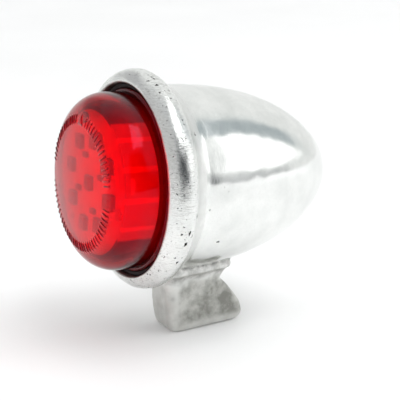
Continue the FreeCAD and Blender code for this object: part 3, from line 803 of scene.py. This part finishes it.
def red_lens():
    """Clear red plastic, with its shoulder painted darker in place of a thicker moulding, except on
    the part's own left, and darker where it is seen at a slant. Its raised marks are painted darker:
    painted shade along their edges. Shadow rays pass it as tinted light."""
    m = Finish("red_lens")
    lamp = m.lamp_place()
    marks = m.attribute("marks")
    haze = m.noise(0.25, 3, 0.6, lamp)
    scratch = m.noise(0.9, 4, 0.7, lamp, (1, 0.3, 5))
    rough = m.span(haze, 0.015, 0.05)
    rough = m.blend(m.span(scratch, 0, 0.4, 0.6, 0.8), rough, 0.12)
    rough = m.blend(m.span(marks, 0, 1, 0.2, 0.9), rough, 0.28)
    tint = m.mix(m.span(haze, 0, 1), (0.94, 0.0008, 0.002, 1), (0.98, 0.0015, 0.003, 1))
    # The raised marks are painted darker red: painted shade along their edges.
    tint = m.mix(m.span(marks, 0, 0.8, 0.2, 0.9), tint, (0.35, 0.0005, 0.001, 1))
    radius, _, sideways = m.round_axis(lamp)
    thick = m.times(m.span(radius, 0, 0.8, 15.5, 19), m.span(sideways, 1, 0, 0.5, 0.75))
    tint = m.mix(thick, tint, (0.34, 0.0006, 0.0012, 1))
    slant = m.node("LayerWeight", {"Blend": 0.5}).outputs["Facing"]
    tint = m.mix(m.span(slant, 0, 1, 0.48, 0.88), tint, (0.12, 0.0004, 0.001, 1))
    m.set(Base_Color=tint, Roughness=rough, Normal=m.bump(haze, 0.01, 0.3))
    m.shader.inputs["Transmission Weight"].default_value = 0.94
    m.shader.inputs["Specular Tint"].default_value = (0.5, 0.14, 0.3, 1)
    m.shader.inputs["IOR"].default_value = 1.5
    clear = m.node("BsdfTransparent", {"Color": (0.98, 0.012, 0.02, 1)})
    path = m.node("LightPath")
    both = m.node("MixShader", {"Fac": path.outputs["Is Shadow Ray"]})
    m.feed(both.inputs[1], m.shader.outputs[0])
    m.feed(both.inputs[2], clear.outputs[0])
    m.feed(m.out.inputs["Surface"], both.outputs[0])
    return m.material


def plain(name, colour, spread, rough, scale, bump, metallic=0.0, ior=1.5):
    """A material of one tone with slight natural variation in tone, gloss and grain."""
    m = Finish(name)
    cloud = m.noise(scale, 4, 0.55)
    grain = m.noise(scale * 8, 3, 0.6)
    dark = tuple(c * (1 - spread) for c in colour) + (1,)
    light = tuple(min(1.0, c * (1 + spread)) for c in colour) + (1,)
    m.set(Base_Color=m.mix(m.span(cloud, 0, 1), dark, light), Roughness=m.span(cloud, *rough),
          Normal=m.bump(grain, bump, 0.6))
    m.shader.inputs["Metallic"].default_value = metallic
    m.shader.inputs["IOR"].default_value = ior
    return m.material


def drum_plastic():
    """The drum: pale on its two flanks, where narrow white stripes on grey are painted glints, and dark between
    them.
    """
    m = Finish("drum_plastic")
    lamp = m.lamp_place()
    cloud = m.noise(0.3, 4, 0.55, lamp)
    _, turn, sideways = m.round_axis(lamp)
    # Painted glints: narrow white stripes at even angles round the drum, grey between them.
    glint_stripes = m.math("COSINE", m.math("MULTIPLY_ADD", turn, DRUM_GLINT_STRIPES, math.radians(FLANK_AT)))
    limit = math.cos(math.radians(FLANK_HALF))
    flank = m.span(m.math("ABSOLUTE", sideways), 0, 1, limit - 0.015, limit + 0.015)
    white = m.mix(m.span(cloud, 0, 1), (0.80, 0.80, 0.78, 1), (0.88, 0.88, 0.86, 1))
    glint_striped = m.mix(m.span(glint_stripes, 0, 1, 0.75, 0.95), (0.56, 0.56, 0.55, 1), white)
    m.set(Base_Color=m.mix(flank, (0.04, 0.04, 0.042, 1), glint_striped), Roughness=m.span(cloud, 0.32, 0.48),
          Normal=m.bump(cloud, 0.02, 0.5))
    return m.material


def led_gel():
    """Clear silicone over the chip, which shows as a small dark square."""
    m = Finish("led_gel")
    cloud = m.noise(1500, 2, 0.5)
    colour = m.mix(m.span(cloud, 0, 1), (0.16, 0.05, 0.04, 1), (0.30, 0.10, 0.08, 1))
    m.set(Base_Color=colour, Roughness=m.span(cloud, 0.06, 0.16), Normal=m.bump(cloud, 0.01, 0.3))
    m.shader.inputs["Coat Weight"].default_value = 0.6
    return m.material


def dress(node, material):
    """Gives a CAD node a material in place of its plain one."""
    mesh = frame["nodes"][node].data
    mesh.materials.clear()
    mesh.materials.append(material)


def dress_frame():
    """Gives the CAD nodes that show as they are the finish of their slot in the record."""
    finishes = {
        "black_rubber": plain("black_rubber", (0.010, 0.008, 0.008), 0.3, (0.55, 0.75), 500, 0.02,
                              ior=1.3),
        "seal_rubber": plain("seal_rubber", (0.03, 0.03, 0.03), 0.3, (0.5, 0.65), 600, 0.02),
        "black_plastic": plain("black_plastic", (0.022, 0.022, 0.024), 0.25, (0.3, 0.48), 450, 0.02),
        "white_plastic": drum_plastic(),
        "board_white": plain("board_white", (0.70, 0.70, 0.68), 0.1, (0.25, 0.42), 350, 0.01),
        "led_package": plain("led_package", (0.26, 0.25, 0.24), 0.15, (0.4, 0.55), 900, 0.005),
        "led_gel": led_gel(),
        "chip_black": plain("chip_black", (0.03, 0.03, 0.032), 0.2, (0.45, 0.6), 900, 0.01),
        "tinned": plain("tinned", (0.70, 0.71, 0.72), 0.08, (0.22, 0.38), 900, 0.004, 1.0),
        "can_aluminium": plain("can_aluminium", (0.74, 0.75, 0.76), 0.06, (0.2, 0.34), 700, 0.004, 1.0),
        "solder": plain("solder", (0.66, 0.67, 0.69), 0.1, (0.15, 0.35), 1200, 0.01, 1.0),
        "potting_resin": plain("potting_resin", (0.02, 0.02, 0.022), 0.25, (0.12, 0.3), 300, 0.02),
        "lead_red": plain("lead_red", (0.50, 0.02, 0.02), 0.12, (0.35, 0.5), 700, 0.01),
        "lead_yellow": plain("lead_yellow", (0.74, 0.52, 0.03), 0.1, (0.35, 0.5), 700, 0.01),
        "lead_black": plain("lead_black", (0.02, 0.02, 0.02), 0.2, (0.35, 0.5), 700, 0.01),
        "pin_brass": plain("pin_brass", (0.76, 0.56, 0.22), 0.08, (0.16, 0.3), 900, 0.003, 1.0),
    }
    for item in frame["record"]["subparts"]:
        if item["material_slot"] in finishes:
            dress(item["node"], finishes[item["material_slot"]])


# ---- the room ----

def aimed(place, target):
    """A rotation that looks from place to target."""
    return (Vector(target) - Vector(place)).to_track_quat("-Z", "Y").to_euler()


def direction(azimuth, elevation):
    """A unit vector from the part; 0 is the front, 90 the part's own left."""
    az = math.radians(azimuth)
    el = math.radians(elevation)
    return Vector((math.sin(az) * math.cos(el), -math.cos(az) * math.cos(el), math.sin(el)))


def softbox(name, azimuth, elevation, distance, size, power, spread):
    """A lamp aimed at the part, which doesn't show as a reflection."""
    light = bpy.data.lights.new(name, "AREA")
    light.shape = "RECTANGLE"
    light.size, light.size_y = size
    light.energy = power
    light.spread = math.radians(spread)
    lamp = bpy.data.objects.new(name, light)
    lamp.visible_glossy = False
    lamp.location = CENTRE + direction(azimuth, elevation) * distance
    lamp.rotation_euler = aimed(lamp.location, CENTRE)
    bpy.context.scene.collection.objects.link(lamp)


def overhead(energy, angle):
    """Soft light from straight above, which doesn't show as a reflection."""
    sun = bpy.data.objects.new("overhead", bpy.data.lights.new("overhead", "SUN"))
    sun.data.energy = energy
    sun.data.angle = math.radians(angle)
    sun.visible_glossy = False
    bpy.context.scene.collection.objects.link(sun)


def paper_floor():
    """A pale sheet under the part."""
    m = Finish("paper")
    cloud = m.noise(6, 3, 0.5)
    m.set(Base_Color=m.mix(m.span(cloud, 0, 1), (0.90, 0.90, 0.90, 1), (0.93, 0.93, 0.93, 1)),
          Roughness=m.span(cloud, 0.6, 0.7), Normal=m.bump(m.noise(900, 2), 0.02, 0.3))
    half = 3.0
    mesh = bpy.data.meshes.new("paper_floor")
    level = CAD_BOX[0][2] - 0.0002
    mesh.from_pydata([(-half, -half, level), (half, -half, level), (half, half, level),
                      (-half, half, level)], [], [(0, 1, 2, 3)])
    mesh.materials.append(m.material)
    made = bpy.data.objects.new("paper_floor", mesh)
    bpy.context.scene.collection.objects.link(made)


# What the polished shell and the lens reflect: cards set round the part, each with its
# corners (azimuth, elevation), the softness of its edge in degrees and its light
ROOM_GREY = (0.58, 0.59, 0.60)
PANELS = (
    (((-50, -16), (-200, -16), (-200, 68), (-50, 68)), 14, (0.90, 0.91, 0.90)),
    (((-48, 14), (-98, 14), (-96, 42), (-50, 42)), 10, (0.50, 0.50, 0.51)),
    (((118, 5), (188, 2), (190, 56), (130, 56)), 8, (0.84, 0.86, 0.85)),
    (((139, 42), (160, 30), (178, 8), (187, 20), (172, 57), (142, 57)), 9, (0.47, 0.52, 0.54)),
    (((-45, -20), (48, -20), (44, 50), (-42, 50)), 14, (0.60, 0.60, 0.60)),
    (((52, -20), (124, -20), (117, 43), (56, 43)), 8, (0.04, 0.045, 0.05)),
    (((80, 51), (132, 46), (168, 60), (150, 80)), 2, (4.0, 4.0, 4.0)),
    (((124, 9), (143, 44), (157, 42), (177, 8), (158, 5)), 1.5, (1.4, 1.4, 1.4)),
)

# Lamps: name, azimuth, elevation, distance and size in metres, watts, and spread in degrees.
# The two fills light the inside of the lens.
KEY = ("key", 152, 21, 1.0, (0.78, 0.56), 2.6, 180)
FILLS = (("front_fill", -8, 9, 0.5, (0.16, 0.16), 0.042, 40),
         ("side_fill", 62, 7, 0.5, (0.16, 0.16), 0.07, 40))
OVERHEAD = (0.42, 60)     # strength, and its disc's angle in degrees


class Room:
    """The world's colour by direction, as a flat grey with soft-edged panels laid over it."""

    def __init__(self, tree):
        self.tree = tree
        self.sight = tree.nodes.new("ShaderNodeTexCoord").outputs["Generated"]
        self.colour = tree.nodes["Background"].inputs["Color"]

    def fill(self, grey):
        self.latest = self.tree.nodes.new("ShaderNodeRGB").outputs[0]
        self.latest.default_value = (*grey, 1)
        self.tree.links.new(self.latest, self.colour)

    def product(self, first, second):
        made = self.tree.nodes.new("ShaderNodeMath")
        made.operation = "MULTIPLY"
        self.tree.links.new(first, made.inputs[0])
        self.tree.links.new(second, made.inputs[1])
        return made.outputs[0]

    def inside(self, side, softness):
        """1 on a plane's inner side and 0 on its outer side, with a soft edge."""
        lean = self.tree.nodes.new("ShaderNodeVectorMath")
        lean.operation = "DOT_PRODUCT"
        self.tree.links.new(self.sight, lean.inputs[0])
        lean.inputs[1].default_value = side
        made = self.tree.nodes.new("ShaderNodeMapRange")
        made.interpolation_type = "SMOOTHSTEP"
        self.tree.links.new(lean.outputs["Value"], made.inputs["Value"])
        made.inputs["From Min"].default_value = -math.sin(math.radians(softness / 2))
        made.inputs["From Max"].default_value = math.sin(math.radians(softness / 2))
        return made.outputs["Result"]

    def panel(self, corners, softness, colour):
        """Lays a flat panel over the room, from the planes through its neighbouring corners."""
        corners = [direction(*corner) for corner in corners]
        middle = sum(corners, Vector())
        mask = None
        for first, second in zip(corners, corners[1:] + corners[:1]):
            side = first.cross(second).normalized()
            if side.dot(middle) < 0:
                side = -side
            edge = self.inside(side, softness)
            mask = self.product(mask, edge) if mask else edge
        mix = self.tree.nodes.new("ShaderNodeMix")
        mix.data_type = "RGBA"
        self.tree.links.new(mask, mix.inputs["Factor"])
        self.tree.links.new(self.latest, mix.inputs[6])
        mix.inputs[7].default_value = (*colour, 1)
        self.latest = mix.outputs[2]
        self.tree.links.new(self.latest, self.colour)


def studio():
    """The room that the part reflects, and the lamps that light it."""
    world = bpy.data.worlds.new("studio")
    bpy.context.scene.world = world
    world.use_nodes = True
    room = Room(world.node_tree)
    room.fill(ROOM_GREY)
    for panel in PANELS:
        room.panel(*panel)
    bpy.context.scene.view_settings.view_transform = "Standard"
    softbox(*KEY)
    overhead(*OVERHEAD)
    for fill in FILLS:
        softbox(*fill)


# Camera: its direction from the part and its roll in degrees, its distance from the aim, the aim's
# place right of and above the mouth's middle in metres, and the focal length in millimetres
VIEW_AZIMUTH = 60.4
VIEW_ELEVATION = 16.57
VIEW_ROLL = -0.33
VIEW_DISTANCE = 0.2507
AIM_RIGHT = 0.0193
AIM_UP = -0.0049
FOCAL_LENGTH = 91.35


def camera():
    """The camera that the part is seen from."""
    view = bpy.data.objects.new("view", bpy.data.cameras.new("view"))
    bpy.context.scene.collection.objects.link(view)
    back = direction(VIEW_AZIMUTH, VIEW_ELEVATION)
    level = math.radians(VIEW_AZIMUTH)
    right = Vector((math.cos(level), math.sin(level), 0))
    right = Matrix.Rotation(math.radians(VIEW_ROLL), 3, back) @ right
    up = back.cross(right)
    aim = LAMP @ Vector((0, 0, 0)) + right * AIM_RIGHT + up * AIM_UP
    view.matrix_world = Matrix((
        (right.x, up.x, back.x, 0), (right.y, up.y, back.y, 0), (right.z, up.z, back.z, 0),
        (0, 0, 0, 1)))
    view.location = aim + back * VIEW_DISTANCE
    view.data.lens = FOCAL_LENGTH
    view.data.clip_start = 0.01
    bpy.context.scene.camera = view


CENTRE = (Vector(CAD_BOX[0]) + Vector(CAD_BOX[1])) / 2

shell = casting()
shell.data.materials.clear()
shell.data.materials.append(cast_aluminium())
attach(shell, "shell")
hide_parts("housing")

lens = lens_moulding()
lens.data.materials.append(red_lens())
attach(lens, "lens_unit")
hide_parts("lens")

dress_frame()
paper_floor()
studio()
camera()
